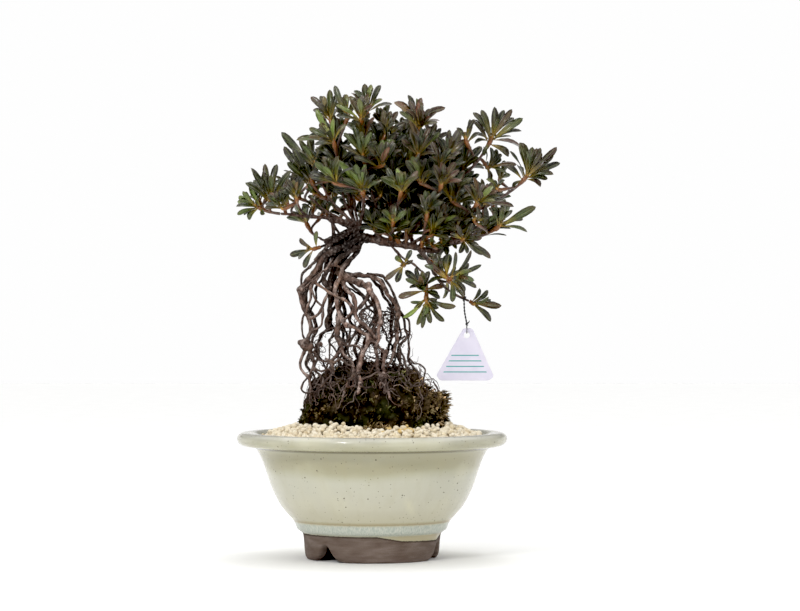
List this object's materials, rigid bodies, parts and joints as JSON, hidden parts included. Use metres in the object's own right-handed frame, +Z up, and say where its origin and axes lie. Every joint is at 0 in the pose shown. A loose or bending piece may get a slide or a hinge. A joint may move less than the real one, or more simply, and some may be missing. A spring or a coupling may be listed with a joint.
{
  "type": "satsuki azalea bonsai",
  "caption": "Satsuki azalea bonsai on exposed roots in a round glazed pot, with kanuma soil and a small blank hanging label.",
  "frame": {"origin": "middle of the whole tree's footprint on the surface that the pot stands on", "axes": "+Z up, -Y towards the front, +X to the right seen from the front"},
  "size_m": [0.321, 0.27, 0.472],
  "materials": {
    "glaze": "glossy",
    "kanuma": "matte",
    "peat": "matte",
    "bark": "matte",
    "foliage": "satin",
    "label_plastic": "satin",
    "black_plastic": "satin"
  },
  "bodies": {
    "root": {"pot": "glaze", "drain_screen": "black_plastic", "kanuma_soil": "kanuma", "root_ball": "peat", "wood": "bark", "spray_left_tip": "foliage", "spray_left_mid": "foliage", "spray_left_low": "foliage", "spray_left_up": "foliage", "spray_crown_left": "foliage", "spray_front_left": "foliage", "spray_crown_mid": "foliage", "spray_front_mid": "foliage", "spray_crown_right": "foliage", "spray_upper_right": "foliage", "spray_right": "foliage", "spray_front_right": "foliage", "spray_right_tip": "foliage", "spray_right_front": "foliage", "spray_right_mid": "foliage", "spray_right_inner": "foliage", "spray_low_right_tip": "foliage", "spray_low_right": "foliage", "spray_low": "foliage", "spray_low_side": "foliage", "spray_inner_left": "foliage", "spray_inner_right": "foliage", "spray_back_left": "foliage", "spray_back": "foliage", "spray_back_right": "foliage", "spray_far_right": "foliage", "spray_back_low": "foliage", "spray_back_top": "foliage", "spray_back_left_low": "foliage", "label": "label_plastic", "label_wire": "black_plastic"}
  },
  "joints": []
}
